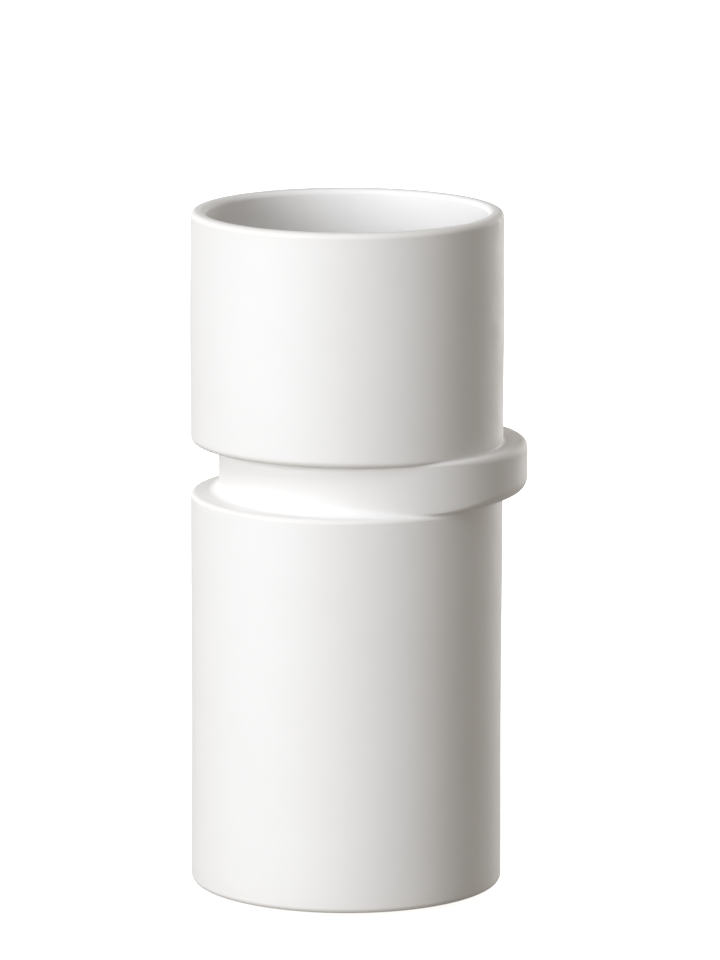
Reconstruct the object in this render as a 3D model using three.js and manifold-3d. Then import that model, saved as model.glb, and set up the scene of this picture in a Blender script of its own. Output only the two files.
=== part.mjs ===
// Flower vase: two stacked ceramic cylinders with a sideways-shifted ring between them.
// Millimetres, +Z up. The origin is on the ground, under the middle of the whole vase,
// and +X is the way the ring is shifted.
import * as THREE from 'three';
import { mergeVertices } from 'three/addons/utils/BufferGeometryUtils.js';
import Module from 'manifold-3d';

const wasm = await Module();
wasm.setup();

// ---- Driving dimensions ----

const BODY_RADIUS = 55;
const RING_RADIUS = 54.5;
const RING_SHIFT = 10.25;
const LOWER_HEIGHT = 140;
const RING_HEIGHT = 18;
const UPPER_HEIGHT = 82;
const WALL = 5;

const FOOT_ROUND = 2;
const SHOULDER_ROUND = 2.5;
const RING_LOW_ROUND = 5;
const RING_HIGH_ROUND = 3;
const UPPER_LOW_ROUND = 3;
const LIP_ROUND = 2;
const FLOOR_ROUND = 6;
const INSIDE_ROUND = 2;

const PAD_THICKNESS = 2;
const PAD_RADIUS = 6.5;
const PAD_CIRCLE_RADIUS = 40;
const PAD_COUNT = 4;
const FIRST_PAD_ANGLE = THREE.MathUtils.degToRad(18.5);
const PAD_ROUND = 0.4;

// ---- Heights and places that follow from them ----

const LOWER_BASE = PAD_THICKNESS;
const RING_BASE = LOWER_BASE + LOWER_HEIGHT;
const UPPER_BASE = RING_BASE + RING_HEIGHT;
const LIP_TOP = UPPER_BASE + UPPER_HEIGHT;
const BODY_BORE = BODY_RADIUS - WALL;
const RING_BORE = RING_RADIUS - WALL;
const BODY_AXIS_X = -(RING_SHIFT + RING_RADIUS - BODY_RADIUS) / 2;

const BODY_SEGMENTS = 72;
const PAD_SEGMENTS = 32;
const ARC_DIVISIONS = 2;
const QUARTER = Math.PI / 2;

// ---- Materials ----

function glazedCeramic() {
  return new THREE.MeshStandardMaterial({ color: 0xf4f2ee, roughness: 0.55, metalness: 0 });
}

function padRubber() {
  return new THREE.MeshStandardMaterial({ color: 0xe2ded6, roughness: 0.75, metalness: 0 });
}

// ---- Half outlines, from the axis at the bottom round to the axis at the top ----

// A plain disc or cylinder with rounded edges.
function discOutline(radius, low, high, lowRound, highRound) {
  const outline = new THREE.Path();
  outline.moveTo(0, low);
  outline.lineTo(radius - lowRound, low);
  outline.absarc(radius - lowRound, low + lowRound, lowRound, -QUARTER, 0);
  outline.lineTo(radius, high - highRound);
  outline.absarc(radius - highRound, high - highRound, highRound, 0, QUARTER);
  outline.lineTo(0, high);
  return outline.getPoints(ARC_DIVISIONS);
}

// An open cup: rounded outside edge, rounded lip, and a rounded corner inside at the floor.
function cupOutline(radius, low, high, lowRound) {
  const bore = radius - WALL;
  const floor = low + WALL;
  const outline = new THREE.Path();
  outline.moveTo(0, low);
  outline.lineTo(radius - lowRound, low);
  outline.absarc(radius - lowRound, low + lowRound, lowRound, -QUARTER, 0);
  outline.lineTo(radius, high - LIP_ROUND);
  outline.absarc(radius - LIP_ROUND, high - LIP_ROUND, LIP_ROUND, 0, QUARTER);
  outline.lineTo(bore + LIP_ROUND, high);
  outline.absarc(bore + LIP_ROUND, high - LIP_ROUND, LIP_ROUND, QUARTER, 2 * QUARTER);
  outline.lineTo(bore, floor + INSIDE_ROUND);
  outline.absarc(bore - INSIDE_ROUND, floor + INSIDE_ROUND, INSIDE_ROUND, 0, -QUARTER, true);
  outline.lineTo(0, floor);
  return outline.getPoints(ARC_DIVISIONS);
}

// ---- From outlines to solids and back ----

// A half outline turned about +Z, as one welded surface.
function turned(outline, segments) {
  const geometry = new THREE.LatheGeometry(outline, segments);
  geometry.rotateX(QUARTER);
  geometry.deleteAttribute('normal');
  geometry.deleteAttribute('uv');
  return mergeVertices(geometry);
}

function solidFrom(geometry) {
  return new wasm.Manifold(new wasm.Mesh({
    numProp: 3,
    vertProperties: new Float32Array(geometry.attributes.position.array),
    triVerts: new Uint32Array(geometry.index.array),
  }));
}

function turnedSolid(outline) {
  return solidFrom(turned(outline, BODY_SEGMENTS));
}

function geometryFrom(solid) {
  const mesh = solid.getMesh();
  const geometry = new THREE.BufferGeometry();
  geometry.setAttribute('position', new THREE.BufferAttribute(mesh.vertProperties, 3));
  geometry.setIndex(new THREE.BufferAttribute(mesh.triVerts, 1));
  geometry.computeVertexNormals();
  return geometry;
}

function named(name, geometry, material) {
  const mesh = new THREE.Mesh(geometry, material);
  mesh.name = name;
  return mesh;
}

// ---- The ceramic sections ----

// The way through the two floors between the hollows: where both bores are open.
function throatSolid() {
  const low = RING_BASE - 2 * WALL;
  const high = UPPER_BASE + 2 * WALL;
  const alongBody = turnedSolid(discOutline(BODY_BORE, low, high, INSIDE_ROUND, INSIDE_ROUND));
  const alongRing = turnedSolid(discOutline(RING_BORE, low, high, INSIDE_ROUND, INSIDE_ROUND));
  return alongBody.intersect(alongRing.translate([RING_SHIFT, 0, 0]));
}

function lowerCylinder(throat) {
  const outside = discOutline(BODY_RADIUS, LOWER_BASE, RING_BASE, FOOT_ROUND, SHOULDER_ROUND);
  const inside = discOutline(BODY_BORE, LOWER_BASE + WALL, RING_BASE - WALL, FLOOR_ROUND, INSIDE_ROUND);
  const solid = turnedSolid(outside).subtract(turnedSolid(inside)).subtract(throat);
  return named('lower_cylinder', geometryFrom(solid), glazedCeramic());
}

function offsetRing(throat) {
  const outside = discOutline(RING_RADIUS, RING_BASE, UPPER_BASE, RING_LOW_ROUND, RING_HIGH_ROUND);
  const inside = discOutline(RING_BORE, RING_BASE + WALL, UPPER_BASE - WALL, INSIDE_ROUND, INSIDE_ROUND);
  const collar = turnedSolid(outside).subtract(turnedSolid(inside));
  const solid = collar.translate([RING_SHIFT, 0, 0]).subtract(throat);
  return named('offset_ring', geometryFrom(solid), glazedCeramic());
}

function upperCylinder(throat) {
  const cup = turnedSolid(cupOutline(BODY_RADIUS, UPPER_BASE, LIP_TOP, UPPER_LOW_ROUND));
  return named('upper_cylinder', geometryFrom(cup.subtract(throat)), glazedCeramic());
}

// ---- The stick-on pads under the base ----

function footPads() {
  const pads = new THREE.Group();
  const outline = discOutline(PAD_RADIUS, 0, PAD_THICKNESS, PAD_ROUND, PAD_ROUND);
  for (let index = 0; index < PAD_COUNT; index += 1) {
    const angle = FIRST_PAD_ANGLE + (index * 2 * Math.PI) / PAD_COUNT;
    const pad = named(`foot_pad_${index + 1}`, turned(outline, PAD_SEGMENTS), padRubber());
    pad.position.set(PAD_CIRCLE_RADIUS * Math.cos(angle), PAD_CIRCLE_RADIUS * Math.sin(angle), 0);
    pads.add(pad);
  }
  return pads;
}

// ---- Assembly ----

const throat = throatSolid();
const aboutBodyAxis = new THREE.Group();
aboutBodyAxis.position.x = BODY_AXIS_X;
aboutBodyAxis.add(lowerCylinder(throat), offsetRing(throat), upperCylinder(throat), footPads());

const vase = new THREE.Group();
vase.name = 'flower_vase';
vase.add(aboutBodyAxis);

export default vase;
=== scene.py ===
"""Looks of the flower vase: matte white glaze on three ceramic sections, with rubber pads under the base.

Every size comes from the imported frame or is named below, in metres. The ceramic is turned about the
cylinders' axis, but not as a plain round: at each angle its wall is one smooth line in the
(radius, height) plane. Where the shifted ring meets a cylinder, the line steps in or out over two
rounded edges with a soft corner between them.
"""

import math

import bpy
import numpy as np
from mathutils import Matrix, Vector


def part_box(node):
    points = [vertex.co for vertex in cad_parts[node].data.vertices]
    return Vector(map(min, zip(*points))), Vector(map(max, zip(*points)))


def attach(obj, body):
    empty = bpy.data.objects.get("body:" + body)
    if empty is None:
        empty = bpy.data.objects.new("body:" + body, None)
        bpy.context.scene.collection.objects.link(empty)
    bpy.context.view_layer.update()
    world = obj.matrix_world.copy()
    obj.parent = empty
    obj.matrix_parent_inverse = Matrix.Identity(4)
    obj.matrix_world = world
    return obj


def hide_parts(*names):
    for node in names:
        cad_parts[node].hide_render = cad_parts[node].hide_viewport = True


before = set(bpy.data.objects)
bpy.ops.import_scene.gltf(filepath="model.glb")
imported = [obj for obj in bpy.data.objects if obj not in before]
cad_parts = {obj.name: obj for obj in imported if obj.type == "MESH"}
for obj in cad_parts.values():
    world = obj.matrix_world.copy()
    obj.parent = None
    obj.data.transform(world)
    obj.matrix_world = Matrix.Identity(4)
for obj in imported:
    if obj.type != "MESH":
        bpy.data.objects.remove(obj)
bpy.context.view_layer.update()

# ---- Sizes read from the frame ----

LOWER_LOW, LOWER_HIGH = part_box("lower_cylinder")
RING_LOW, RING_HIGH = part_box("offset_ring")
UPPER_LOW, UPPER_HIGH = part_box("upper_cylinder")
PAD_NODES = sorted(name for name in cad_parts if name.startswith("foot_pad"))

BODY_X = (LOWER_LOW.x + LOWER_HIGH.x) / 2
BODY_RADIUS = (LOWER_HIGH.x - LOWER_LOW.x) / 2
RING_RADIUS = (RING_HIGH.x - RING_LOW.x) / 2
RING_SHIFT = (RING_LOW.x + RING_HIGH.x) / 2 - BODY_X
BASE_Z = LOWER_LOW.z
RING_Z = RING_LOW.z
UPPER_Z = UPPER_LOW.z
LIP_Z = UPPER_HIGH.z

# ---- Sizes of the finer shape ----

WALL = 0.005
BORE_WALL = 0.0055
FOOT_ROUND = 0.002
LIP_ROUND = 0.0022
FLOOR_ROUND = 0.007
GLAZE_WRAP = 0.0015
LOWER_WAIST = 0.0002
UPPER_BELLY = 0.0002

# An edge's rounding or a corner's fillet: where the walls are flush, and where one stands well out.
SHOULDER_ROUND = (0.0018, 0.0018)
RING_UNDER_ROUND = (0.0008, 0.0050)
RING_TOP_ROUND = (0.0010, 0.0028)
UPPER_UNDER_ROUND = (0.0012, 0.0022)
LOW_CORNER = (0.0011, 0.0040)
HIGH_CORNER = (0.0010, 0.0015)
INSIDE_ROUND = (0.0003, 0.0030)
FULL_OVERHANG = 0.007
INSIDE_BLEND = 0.003

PAD_EDGE_ROUND = 0.0006
FILM_THICKNESS = 0.0003

BODY_ANGLES = 256
PAD_ANGLES = 64
FLOOR_SIDES = 64
LINE_STEP = 0.0002
GLAZE_FLOW = 0.0016
NEAR_STEP = 0.009
QUARTER = math.pi / 2
ON_AXIS = 1e-6
NO_TURN = 1e-6

# ---- A wall line in the (radius, height) plane ----


class WallLine:
    """Points along a line, with the direction and the bend (1 / radius, left positive) at each."""

    def __init__(self, radius, height):
        self.points = [(radius, height)]
        self.directions = [(1.0, 0.0)]
        self.bends = [0.0]
        self.marks = [0]

    def add(self, point, direction, bend):
        self.points.append(point)
        self.directions.append(direction)
        self.bends.append(bend)

    def line_to(self, radius, height):
        r0, z0 = self.points[-1]
        length = math.hypot(radius - r0, height - z0)
        if length > LINE_STEP / 10:
            direction = ((radius - r0) / length, (height - z0) / length)
            count = max(2, round(length / LINE_STEP))
            for k in range(1, count + 1):
                step = length * k / count
                self.add((r0 + direction[0] * step, z0 + direction[1] * step), direction, 0.0)
        return self

    def turn(self, radius, angle):
        """Carries on round a circle of that radius by that angle: left is positive, right is negative."""
        if abs(angle) < NO_TURN:
            return self
        dr, dz = self.directions[-1]
        side = math.copysign(1.0, angle)
        from_centre = Vector((dz, -dr)) * radius * side
        centre = Vector(self.points[-1]) - from_centre
        count = max(2, round(radius * abs(angle) / LINE_STEP))
        for k in range(1, count + 1):
            rotation = Matrix.Rotation(angle * k / count, 2)
            point = tuple(centre + rotation @ from_centre)
            self.add(point, tuple(rotation @ Vector((dr, dz))), side / radius)
        return self

    def mark(self):
        """Remembers this point as a place where a run of stations can stop."""
        self.marks.append(len(self.points) - 1)
        return self

    def lengths(self):
        steps = np.hypot(*np.diff(np.array(self.points), axis=0).T)
        return np.concatenate([[0.0], np.cumsum(steps)])

    def length_at(self, height):
        """How far along the line it reaches a height. The line never goes down."""
        return np.interp(height, [z for _, z in self.points], self.lengths())


def grown(sizes, overhang):
    """A rounding that grows smoothly from its first size to its second with how far the wall hangs out."""
    share = min(max(overhang / FULL_OVERHANG, 0.0), 1.0)
    return sizes[0] + (sizes[1] - sizes[0]) * share * share * (3 - 2 * share)


def corner_centre(start, radius, height, low_round, high_round, fillet):
    """Where the corner's circle sits so that it touches the edges or faces on both sides of a step.

    It comes with whether the circle rests on the ledge of a wide step.
    """
    low = Vector((start - low_round, height - low_round))
    high = Vector((radius - high_round, height + high_round))
    if radius < start:
        reach = high.x + 2 * math.sqrt(high_round * fillet)
        on_ledge = Vector((max(radius + fillet, reach), height + fillet))
        if fillet >= high_round:
            on_ledge.x = radius + fillet
        if on_ledge.x <= low.x:
            return on_ledge, True
    else:
        on_ledge = Vector((low.x + 2 * math.sqrt(low_round * fillet), height - fillet))
        if fillet >= low_round:
            on_ledge.x = start + fillet
        if on_ledge.x <= high.x:
            return on_ledge, True
    reach_low, reach_high = low_round + fillet, high_round + fillet
    apart = (high - low).length
    along = (reach_low ** 2 - reach_high ** 2 + apart ** 2) / (2 * apart)
    unit = (high - low) / apart
    away = math.sqrt(max(reach_low ** 2 - along ** 2, 0))
    centre = low + unit * along + Vector((unit.y, -unit.x)) * away
    if centre.y > high.y:
        centre.x = radius + fillet
        centre.y = low.y + math.sqrt(max(reach_low ** 2 - (centre.x - low.x) ** 2, 0))
    elif centre.y < low.y:
        centre.x = start + fillet
        centre.y = high.y - math.sqrt(max(reach_high ** 2 - (centre.x - high.x) ** 2, 0))
    return centre, False


def step_to(path, radius, height, low_round, high_round, fillet):
    """Goes up a wall, over the lower piece's rounded edge, round the corner's fillet, and over the
    upper piece's rounded edge to the wall at radius. The mark, in the fillet, is where the pieces meet."""
    start = path.points[-1][0]
    centre, on_ledge = corner_centre(start, radius, height, low_round, high_round, fillet)
    low_angle = math.atan2(centre.y - height + low_round, centre.x - start + low_round)
    high_angle = math.atan2(height + high_round - centre.y, centre.x - radius + high_round)
    low_angle = QUARTER if on_ledge and radius < start else min(max(low_angle, 0.0), QUARTER)
    high_angle = QUARTER if on_ledge and radius >= start else min(max(high_angle, 0.0), QUARTER)
    path.line_to(start, centre.y if low_angle == 0 else height - low_round)
    path.turn(low_round, low_angle)
    if on_ledge and radius < start:
        path.line_to(centre.x, height)
    path.turn(fillet, -(low_angle + high_angle) / 2).mark()
    path.turn(fillet, -(low_angle + high_angle) / 2)
    if on_ledge and radius >= start:
        path.line_to(radius - high_round, height)
    path.turn(high_round, high_angle)


def ring_wall(angle, radius):
    """How far a wall of the shifted ring is from the cylinders' axis, at that angle round it."""
    across = RING_SHIFT * math.sin(angle)
    return RING_SHIFT * math.cos(angle) + math.sqrt(radius ** 2 - across ** 2)


def outer_line(angle):
    """The outside, from the middle of the base to the top of the lip."""
    path = WallLine(0.0, BASE_Z)
    path.line_to(BODY_RADIUS - FOOT_ROUND - GLAZE_WRAP, BASE_Z).mark()
    path.line_to(BODY_RADIUS - FOOT_ROUND, BASE_Z).turn(FOOT_ROUND, QUARTER).mark()
    ring = ring_wall(angle, RING_RADIUS)
    out = ring - BODY_RADIUS
    low_edges = grown(SHOULDER_ROUND, -out), grown(RING_UNDER_ROUND, out)
    high_edges = grown(RING_TOP_ROUND, out), grown(UPPER_UNDER_ROUND, -out)
    step_to(path, ring, RING_Z, *low_edges, grown(LOW_CORNER, -out))
    step_to(path, BODY_RADIUS, UPPER_Z, *high_edges, grown(HIGH_CORNER, -out))
    path.line_to(BODY_RADIUS, LIP_Z - LIP_ROUND).mark()
    path.turn(LIP_ROUND, QUARTER).line_to(BODY_RADIUS - WALL / 2, LIP_Z).mark()
    return path


def inner_line(angle):
    """The inside, from the middle of the floor to the top of the lip."""
    bore = BODY_RADIUS - BORE_WALL
    ring = ring_wall(angle, RING_RADIUS - BORE_WALL)
    path = WallLine(0.0, BASE_Z + WALL)
    path.line_to(bore - FLOOR_ROUND, BASE_Z + WALL).mark().turn(FLOOR_ROUND, QUARTER).mark()
    out = ring - bore
    in_round, out_round = grown(INSIDE_ROUND, -out), grown(INSIDE_ROUND, out)
    fillet = grown(INSIDE_ROUND, abs(out))
    lift = WALL * math.sin(QUARTER * min(max(out / INSIDE_BLEND, -1.0), 1.0))
    step_to(path, ring, RING_Z + lift, in_round, out_round, fillet)
    step_to(path, bore, UPPER_Z - lift, out_round, in_round, fillet)
    path.line_to(bore, LIP_Z - LIP_ROUND).mark()
    path.turn(LIP_ROUND, -QUARTER).line_to(BODY_RADIUS - WALL / 2, LIP_Z).mark()
    return path


# ---- From wall lines to runs of stations ----


def wall_bow(height):
    """The small waist of the lower wall and belly of the upper one, as cast walls have."""
    lower = np.clip((height - BASE_Z) / (RING_Z - NEAR_STEP - BASE_Z), 0, 1)
    upper = np.clip((height - UPPER_Z - NEAR_STEP) / (LIP_Z - UPPER_Z - 2 * NEAR_STEP), 0, 1)
    return UPPER_BELLY * np.sin(np.pi * upper) ** 2 - LOWER_WAIST * np.sin(np.pi * lower) ** 2


def sampled(path, stops, counts):
    """Rows of radius, height, direction and bend at counts[k] even spaces from stop k to the next one."""
    spread = max(1, round(GLAZE_FLOW / LINE_STEP))
    bends = np.convolve(np.pad(path.bends, spread), np.ones(spread) / spread, mode="same")[spread:-spread]
    columns = np.column_stack([path.points, path.directions, bends]).T
    at = [stops[:1]]
    for start, end, count in zip(stops, stops[1:], counts):
        at.append(np.linspace(start, end, count + 1)[1:])
    at = np.concatenate(at)
    return np.stack([np.interp(at, path.lengths(), column) for column in columns], axis=1)


def run(paths, stops_of, counts):
    """One smooth run of stations at every angle: an array by angle, station and value."""
    return np.array([sampled(path, stops_of(path), counts) for path in paths])


def reversed_run(one_run):
    """The same stations walked the other way, which turns their directions round."""
    flipped = one_run[:, ::-1].copy()
    flipped[:, :, 2:4] *= -1
    return flipped


def joint_face(one_run, next_run):
    """The hidden face where two sections touch, from the end of one run to the start of another."""
    ends = np.stack([one_run[:, -1], next_run[:, 0]], axis=1)
    along = ends[:, 1, :2] - ends[:, 0, :2]
    ends[:, :, 2:4] = (along / np.linalg.norm(along, axis=1)[:, None])[:, None]
    return ends


# ---- From runs to meshes ----


def around(one_run, centre):
    """The points and outward normals of a run turned about the vertical line through centre."""
    radius, height, dr, dz = np.moveaxis(one_run, 2, 0)[:4]
    count = len(one_run)
    angle = (np.arange(count) * 2 * np.pi / count)[:, None]
    spacing = 4 * np.pi / count
    slide_r = (np.roll(radius, -1, 0) - np.roll(radius, 1, 0)) / spacing
    slide_z = (np.roll(height, -1, 0) - np.roll(height, 1, 0)) / spacing
    turn = np.maximum(radius, ON_AXIS)
    out, side, up = turn * dz, slide_z * dr - slide_r * dz, -turn * dr
    c, s = np.cos(angle), np.sin(angle)
    points = np.stack([centre[0] + radius * c, centre[1] + radius * s, height], axis=2)
    normals = np.stack([out * c - side * s, out * s + side * c, up], axis=2)
    return points, normals / np.linalg.norm(normals, axis=2)[:, :, None]


def band(low, high, low_normals, high_normals):
    """The faces between two columns of vertices, and the normals at their corners.

    A column at the axis has one vertex, so its faces are triangles.
    """
    corners = np.stack([low, np.roll(low, -1), np.roll(high, -1), high], axis=1)
    normals = [low_normals, np.roll(low_normals, -1, 0), np.roll(high_normals, -1, 0), high_normals]
    keep = [0, 2, 3] if low[0] == low[1] else [0, 1, 2] if high[0] == high[1] else [0, 1, 2, 3]
    return corners[:, keep], np.stack(normals, axis=1)[:, keep]


def turned_piece(name, slots, materials, centre, runs):
    """A closed mesh from runs laid end to end, which start and end on the axis or meet in a loop.

    slots gives each run's material. The normals are the surface's own, so neighbours shade as one.
    """
    count = len(runs[0])
    loop = runs[0][0, 0, 0] > ON_AXIS
    vertices, bends, columns = [], [], []
    polygons, normals, faces_of = [], [], []
    for number, one_run in enumerate(runs):
        points, outward = around(one_run, centre)
        for k in range(one_run.shape[1]):
            last = number == len(runs) - 1 and k == one_run.shape[1] - 1
            if loop and last:
                columns.append(columns[0])
            elif k > 0 or number == 0:
                single = one_run[0, k, 0] < ON_AXIS
                kept = slice(0, 1) if single else slice(None)
                columns.append(len(vertices) + np.arange(count) * (0 if single else 1))
                vertices.extend(points[kept, k].tolist())
                bends.extend(one_run[kept, k, 4])
            if k > 0:
                corners, at_corners = band(columns[-2], columns[-1], outward[:, k - 1], outward[:, k])
                polygons.extend(corners.tolist())
                normals.extend(at_corners.reshape(-1, 3).tolist())
                faces_of.extend([slots[number]] * count)
    mesh = bpy.data.meshes.new(name)
    mesh.from_pydata(vertices, [], polygons)
    for material in materials:
        mesh.materials.append(material)
    mesh.polygons.foreach_set("material_index", faces_of)
    mesh.polygons.foreach_set("use_smooth", [True] * len(polygons))
    mesh.attributes.new("bend", "FLOAT", "POINT").data.foreach_set("value", np.array(bends, np.float32))
    mesh.normals_split_custom_set(normals)
    mesh.update()
    piece = bpy.data.objects.new(name, mesh)
    bpy.context.scene.collection.objects.link(piece)
    return piece


# ---- Materials ----

GLAZE_TONES = ((0.884, 0.874, 0.862), (0.898, 0.889, 0.878))
GLAZE_SPECK = (0.80, 0.785, 0.75)
GLAZE_THIN = (0.845, 0.822, 0.785)
GLAZE_POOLED = (0.90, 0.896, 0.885)
EDGE_BENDS = (60.0, 420.0)
CORNER_BENDS = (-500.0, -80.0)
CLAY_TONES = ((0.70, 0.655, 0.585), (0.76, 0.72, 0.66))
CLAY_GRAIN = (0.56, 0.51, 0.44)
RUBBER_TONES = ((0.71, 0.68, 0.61), (0.76, 0.73, 0.67))
FILM_TONES = ((0.62, 0.57, 0.44), (0.68, 0.63, 0.51))
FLOOR_TONES = ((0.90, 0.90, 0.90), (0.92, 0.92, 0.92))
FLOOR_GLOW = 0.8


class Nodes:
    """A material's nodes, added and linked by short calls."""

    def __init__(self, name):
        self.material = bpy.data.materials.new(name)
        self.material.use_nodes = True
        self.tree = self.material.node_tree
        self.shader = self.tree.nodes["Principled BSDF"]
        self.place = self.add("ShaderNodeTexCoord").outputs["Object"]

    def add(self, kind, **settings):
        node = self.tree.nodes.new(kind)
        for key, value in settings.items():
            setattr(node, key, value)
        return node

    def link(self, output, socket):
        self.tree.links.new(output, socket)

    def noise(self, size, detail=3.0, roughness=0.5):
        """Noise with features about that many metres across."""
        node = self.add("ShaderNodeTexNoise")
        node.inputs["Scale"].default_value = 1 / size
        node.inputs["Detail"].default_value = detail
        node.inputs["Roughness"].default_value = roughness
        self.link(self.place, node.inputs["Vector"])
        return node.outputs["Fac"]

    def ranged(self, value, low, high, to_low, to_high):
        node = self.add("ShaderNodeMapRange")
        sockets = ("From Min", "From Max", "To Min", "To Max")
        for socket, number in zip(sockets, (low, high, to_low, to_high)):
            node.inputs[socket].default_value = number
        self.link(value, node.inputs["Value"])
        return node.outputs["Result"]

    def mixed(self, factor, first, second):
        """A colour between two, each a colour or an output."""
        node = self.add("ShaderNodeMix", data_type="RGBA")
        self.link(factor, node.inputs[0])
        for socket, colour in ((node.inputs[6], first), (node.inputs[7], second)):
            if isinstance(colour, tuple):
                socket.default_value = (*colour, 1.0)
            else:
                self.link(colour, socket)
        return node.outputs[2]

    def bumped(self, height, distance, strength, under=None):
        node = self.add("ShaderNodeBump")
        node.inputs["Strength"].default_value = strength
        node.inputs["Distance"].default_value = distance
        self.link(height, node.inputs["Height"])
        if under is not None:
            self.link(under, node.inputs["Normal"])
        return node.outputs["Normal"]


def matte_glaze():
    """White matte glaze: faint clouding and specks, thinner and warmer on edges, pooled in corners."""
    n = Nodes("matte_white_glaze")
    bend = n.add("ShaderNodeAttribute", attribute_name="bend").outputs["Fac"]
    body = n.mixed(n.ranged(n.noise(0.035, 2.0), 0.35, 0.65, 0, 1), *GLAZE_TONES)
    specks = n.ranged(n.noise(0.0011, 2.0, 0.6), 0.68, 0.76, 0.0, 0.35)
    speckled = n.mixed(specks, body, GLAZE_SPECK)
    edges = n.ranged(bend, *EDGE_BENDS, 0.0, 0.55)
    thinned = n.mixed(edges, speckled, GLAZE_THIN)
    pooled = n.mixed(n.ranged(bend, *CORNER_BENDS, 0.6, 0.0), thinned, GLAZE_POOLED)
    n.link(pooled, n.shader.inputs["Base Color"])
    n.link(n.ranged(n.noise(0.006, 3.0), 0.3, 0.7, 0.56, 0.66), n.shader.inputs["Roughness"])
    n.shader.inputs["Specular IOR Level"].default_value = 0.4
    ripple = n.bumped(n.noise(0.009, 2.0), 0.00025, 0.25)
    n.link(n.bumped(n.noise(0.0007, 3.0), 0.00003, 0.35, ripple), n.shader.inputs["Normal"])
    return n.material


def biscuit():
    """Bare fired clay under the foot: sandy, dry and a little warmer."""
    n = Nodes("bare_fired_clay")
    base = n.mixed(n.ranged(n.noise(0.02, 3.0), 0.35, 0.65, 0, 1), *CLAY_TONES)
    grains = n.ranged(n.noise(0.0006, 4.0, 0.7), 0.55, 0.7, 0.0, 0.5)
    n.link(n.mixed(grains, base, CLAY_GRAIN), n.shader.inputs["Base Color"])
    n.link(n.ranged(n.noise(0.002), 0.3, 0.7, 0.82, 0.95), n.shader.inputs["Roughness"])
    n.shader.inputs["Specular IOR Level"].default_value = 0.25
    n.link(n.bumped(n.noise(0.0005, 4.0, 0.7), 0.00008, 0.6), n.shader.inputs["Normal"])
    return n.material


def pad_rubber():
    """Soft off-white rubber with a fine moulded grain."""
    n = Nodes("soft_pad_rubber")
    colour = n.mixed(n.ranged(n.noise(0.004, 2.0), 0.3, 0.7, 0, 1), *RUBBER_TONES)
    n.link(colour, n.shader.inputs["Base Color"])
    n.link(n.ranged(n.noise(0.0015), 0.3, 0.7, 0.6, 0.75), n.shader.inputs["Roughness"])
    n.shader.inputs["Specular IOR Level"].default_value = 0.35
    n.link(n.bumped(n.noise(0.0004, 2.0), 0.00005, 0.5), n.shader.inputs["Normal"])
    return n.material


def adhesive_film():
    """The thin, slightly yellow film that sticks a pad on."""
    n = Nodes("pad_adhesive_film")
    colour = n.mixed(n.ranged(n.noise(0.002), 0.3, 0.7, 0, 1), *FILM_TONES)
    n.link(colour, n.shader.inputs["Base Color"])
    n.link(n.ranged(n.noise(0.001), 0.3, 0.7, 0.3, 0.45), n.shader.inputs["Roughness"])
    return n.material


def studio_white():
    """A plain white sweep that also glows by itself, so that shadows on it stay faint."""
    n = Nodes("studio_floor_white")
    tone = n.mixed(n.ranged(n.noise(0.8, 2.0), 0.3, 0.7, 0, 1), *FLOOR_TONES)
    n.link(tone, n.shader.inputs["Base Color"])
    n.shader.inputs["Roughness"].default_value = 0.9
    n.shader.inputs["Emission Color"].default_value = (1.0, 1.0, 1.0, 1.0)
    n.shader.inputs["Emission Strength"].default_value = FLOOR_GLOW
    return n.material


# ---- The ceramic sections ----


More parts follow.
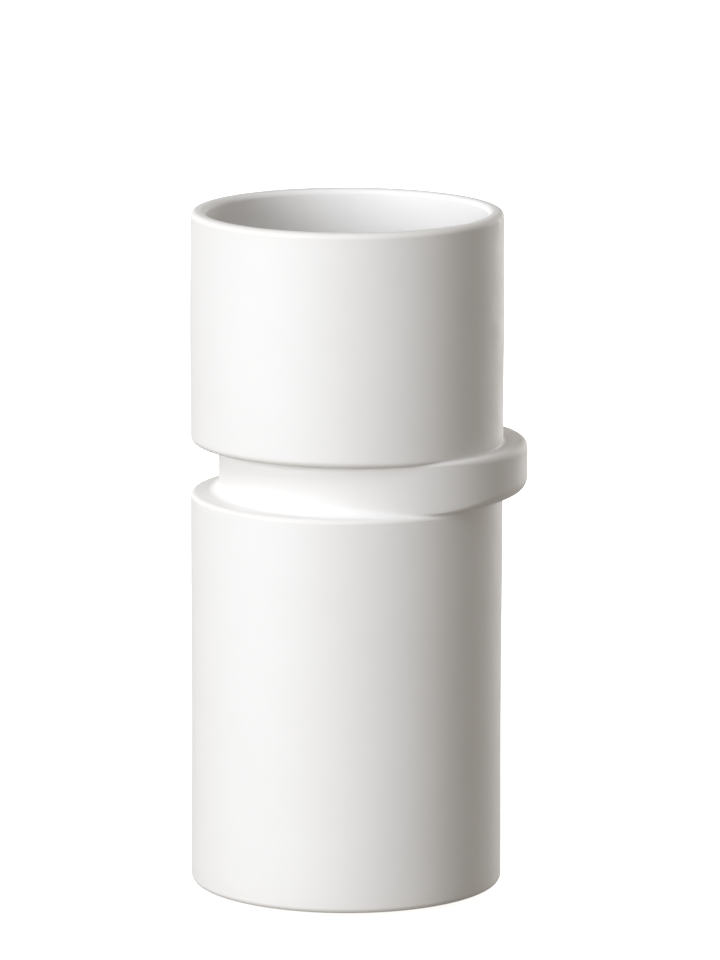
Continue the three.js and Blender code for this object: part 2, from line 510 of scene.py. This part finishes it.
def ceramic_sections():
    """The three sections, each closed by the hidden faces where it rests on its neighbours."""
    angles = [2 * math.pi * k / BODY_ANGLES for k in range(BODY_ANGLES)]
    outers = [outer_line(angle) for angle in angles]
    inners = [inner_line(angle) for angle in angles]
    middle = (RING_Z + UPPER_Z) / 2

    def outer_mark(path, number):
        return path.lengths()[path.marks[number]]

    def base_stops(path):
        return [outer_mark(path, 0), outer_mark(path, 1)]

    def lower_stops(path):
        near = path.length_at(RING_Z - NEAR_STEP)
        return [outer_mark(path, 1), outer_mark(path, 2), near, outer_mark(path, 3)]

    def ring_stops(path):
        return [outer_mark(path, 3), path.length_at(middle), outer_mark(path, 4)]

    def upper_stops(path):
        near = path.length_at(UPPER_Z + NEAR_STEP)
        return [outer_mark(path, 4), near, outer_mark(path, 5), outer_mark(path, 6)]

    def inner_lower_stops(path):
        near = path.length_at(RING_Z - NEAR_STEP)
        return [0.0, outer_mark(path, 1), outer_mark(path, 2), near, path.length_at(RING_Z)]

    def inner_ring_stops(path):
        return [path.length_at(RING_Z), path.length_at(middle), path.length_at(UPPER_Z)]

    def inner_upper_stops(path):
        near = path.length_at(UPPER_Z + NEAR_STEP)
        return [path.length_at(UPPER_Z), near, outer_mark(path, 5), outer_mark(path, 6)]

    base = run(outers, base_stops, [8])
    lower = run(outers, lower_stops, [10, 16, 24])
    ring = run(outers, ring_stops, [24, 24])
    upper = run(outers, upper_stops, [24, 12, 8])
    for outside in (lower, upper):
        outside[:, :, 0] += wall_bow(outside[:, :, 1])
    inner_lower = reversed_run(run(inners, inner_lower_stops, [6, 10, 12, 20]))
    inner_ring = reversed_run(run(inners, inner_ring_stops, [20, 20]))
    inner_upper = reversed_run(run(inners, inner_upper_stops, [20, 10, 8]))

    axis = (BODY_X, 0.0)
    glaze, clay = matte_glaze(), biscuit()
    low_joint = joint_face(lower, inner_lower)
    pieces = [
        turned_piece(
            "lower_cylinder_glazed",
            (1, 0, 0, 0),
            (glaze, clay),
            axis,
            (base, lower, low_joint, inner_lower),
        ),
        turned_piece(
            "offset_ring_glazed",
            (0, 0, 0, 0),
            (glaze,),
            axis,
            (ring, joint_face(ring, inner_ring), inner_ring, joint_face(inner_ring, ring)),
        ),
        turned_piece(
            "upper_cylinder_glazed",
            (0, 0, 0),
            (glaze,),
            axis,
            (upper, inner_upper, joint_face(inner_upper, upper)),
        ),
    ]
    for piece, node in zip(pieces, ("lower_cylinder", "offset_ring", "upper_cylinder")):
        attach(piece, "root")
        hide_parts(node)


# ---- The pads under the base ----


def pad_line(radius, low, high):
    """Half the outline of a pad's rubber, up to where its adhesive film starts."""
    rubber_top = high - FILM_THICKNESS
    rubber = WallLine(0.0, low).line_to(radius - PAD_EDGE_ROUND, low).turn(PAD_EDGE_ROUND, QUARTER)
    rubber.line_to(radius, rubber_top - PAD_EDGE_ROUND / 2).turn(PAD_EDGE_ROUND / 2, QUARTER)
    rubber.line_to(radius - PAD_EDGE_ROUND, rubber_top)
    return rubber


def whole_line(path):
    """The stops of a run that takes in a whole line."""
    return [0.0, path.lengths()[-1]]


def foot_pads():
    """Four rubber pads, each with a slightly smaller film between it and the base."""
    rubber, film = pad_rubber(), adhesive_film()
    for node in PAD_NODES:
        low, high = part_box(node)
        centre = ((low.x + high.x) / 2, (low.y + high.y) / 2)
        radius = (high.x - low.x) / 2
        rim = radius - PAD_EDGE_ROUND
        side = pad_line(radius, low.z, high.z)
        wall = WallLine(rim, high.z - FILM_THICKNESS).line_to(rim, high.z)
        cover = WallLine(rim, high.z).line_to(0.0, high.z)
        lines = ((side, 36), (wall, 2), (cover, 6))
        runs = [run([line] * PAD_ANGLES, whole_line, [count]) for line, count in lines]
        for straight, line in zip(runs[1:], (wall, cover)):
            straight[:, :, 2:4] = line.directions[-1]
        piece = turned_piece(f"{node}_rubber", (0, 1, 1), (rubber, film), centre, runs)
        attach(piece, "root")
        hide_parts(node)


# ---- Floor, light and camera ----

FLOOR_RADIUS = 9.0
FLOOR_GAP = 0.0002
FLOOR_SUN_STRENGTH = 1.5
FLOOR_SUN_ANGLE = 70.0

# Name, azimuth from the camera's, elevation, distance, size, energy, colour.
SOFTBOXES = (
    ("key_softbox", -42, 13, 4.0, 1.4, 102.0, (0.97, 0.99, 1.02)),
    ("high_softbox", -35, 52, 3.2, 2.2, 41.0, (0.93, 0.985, 1.06)),
    ("back_right", 146, 3, 2.4, 1.2, 28.0, (1.0, 1.0, 1.0)),
    ("back_left", -148, 12, 2.4, 1.2, 14.0, (1.0, 1.0, 1.0)),
)

CAMERA_AZIMUTH = -25.0
CAMERA_ELEVATION = 11.35
CAMERA_DISTANCE = 2.587
CAMERA_ROLL = 0.14
CAMERA_LENS = 274.8
AIM_RISE = 0.0233
AIM_SIDE = 0.00465


def floor():
    """A large plain disc just under the pads. It throws no light on the vase and keeps none from it."""
    angles = np.linspace(0, 2 * np.pi, FLOOR_SIDES, endpoint=False)
    rim = [(FLOOR_RADIUS * math.cos(a), FLOOR_RADIUS * math.sin(a), -FLOOR_GAP) for a in angles]
    mesh = bpy.data.meshes.new("studio_floor")
    mesh.from_pydata(rim, [], [list(range(len(rim)))])
    mesh.materials.append(studio_white())
    sheet = bpy.data.objects.new("studio_floor", mesh)
    bpy.context.scene.collection.objects.link(sheet)
    sheet.visible_diffuse = False
    sheet.visible_glossy = False
    sheet.visible_shadow = False
    return sheet


def direction_from(azimuth, elevation):
    """The way from the vase to something at that azimuth and elevation, in degrees."""
    a, e = math.radians(azimuth), math.radians(elevation)
    return Vector((math.sin(a) * math.cos(e), -math.cos(a) * math.cos(e), math.sin(e)))


def lamp(name, kind, azimuth, elevation, distance, **settings):
    light = bpy.data.lights.new(name, kind)
    for key, value in settings.items():
        setattr(light, key, value)
    thing = bpy.data.objects.new(name, light)
    towards = direction_from(azimuth, elevation)
    thing.location = Vector((BODY_X, 0.0, (BASE_Z + LIP_Z) / 2)) + towards * distance
    thing.rotation_euler = towards.to_track_quat("Z", "Y").to_euler()
    bpy.context.scene.collection.objects.link(thing)
    return thing


def light_only(thing, receiver):
    """Makes a lamp light one object and nothing else."""
    group = bpy.data.collections.new(f"{thing.name}_receivers")
    group.objects.link(receiver)
    thing.light_linking.receiver_collection = group


def studio(floor_sheet):
    """A big low key and a higher one from the front left, back lights that catch the edges, and a
    sun for the floor alone."""
    for name, azimuth, elevation, distance, size, energy, colour in SOFTBOXES:
        place = CAMERA_AZIMUTH + azimuth, elevation, distance
        lamp(name, "AREA", *place, size=size, energy=energy, color=colour)
    spread = math.radians(FLOOR_SUN_ANGLE)
    overhead = lamp("floor_sun", "SUN", 0, 89, 3.0, energy=FLOOR_SUN_STRENGTH, angle=spread)
    light_only(overhead, floor_sheet)


ROOM_ABOVE = (0.27, 0.248, 0.222)
ROOM_BELOW = (0.27, 0.252, 0.229)
ROOM_BLEND = 0.3


def room():
    """A white room to look at, which gives a dimmer, slightly warm and nearly even light."""
    world = bpy.data.worlds.new("white_room")
    bpy.context.scene.world = world
    world.use_nodes = True
    nodes, links = world.node_tree.nodes, world.node_tree.links
    seen, given = nodes["Background"], nodes.new("ShaderNodeBackground")
    seen.inputs["Color"].default_value = (1.0, 1.0, 1.0, 1.0)
    split, ramp = nodes.new("ShaderNodeSeparateXYZ"), nodes.new("ShaderNodeMapRange")
    links.new(nodes.new("ShaderNodeTexCoord").outputs["Generated"], split.inputs[0])
    links.new(split.outputs["Z"], ramp.inputs["Value"])
    ramp.inputs["From Min"].default_value = -ROOM_BLEND
    ramp.inputs["From Max"].default_value = ROOM_BLEND
    tone = nodes.new("ShaderNodeMix")
    tone.data_type = "RGBA"
    tone.inputs[6].default_value = (*ROOM_BELOW, 1.0)
    tone.inputs[7].default_value = (*ROOM_ABOVE, 1.0)
    links.new(ramp.outputs["Result"], tone.inputs[0])
    links.new(tone.outputs[2], given.inputs["Color"])
    path, mix = nodes.new("ShaderNodeLightPath"), nodes.new("ShaderNodeMixShader")
    links.new(path.outputs["Is Camera Ray"], mix.inputs[0])
    links.new(given.outputs[0], mix.inputs[1])
    links.new(seen.outputs[0], mix.inputs[2])
    links.new(mix.outputs[0], nodes["World Output"].inputs["Surface"])


def camera():
    """Stands at the left front, a little above the lip, far off on a long lens."""
    view = bpy.data.cameras.new("camera")
    view.lens = CAMERA_LENS
    view.clip_end = 50.0
    thing = bpy.data.objects.new("camera", view)
    middle = Vector((BODY_X, 0.0, (BASE_Z + LIP_Z) / 2))
    back = direction_from(CAMERA_AZIMUTH, CAMERA_ELEVATION)
    side = Vector((0, 0, 1)).cross(back).normalized()
    rise = back.cross(side)
    thing.location = middle + back * CAMERA_DISTANCE
    aim = middle + rise * AIM_RISE + side * AIM_SIDE
    turned = (thing.location - aim).to_track_quat("Z", "Y").to_matrix()
    thing.rotation_euler = (turned @ Matrix.Rotation(math.radians(CAMERA_ROLL), 3, "Z")).to_euler()
    bpy.context.scene.collection.objects.link(thing)
    bpy.context.scene.camera = thing


camera()
ceramic_sections()
foot_pads()
studio(floor())
room()
bpy.context.scene.view_settings.view_transform = "Standard"
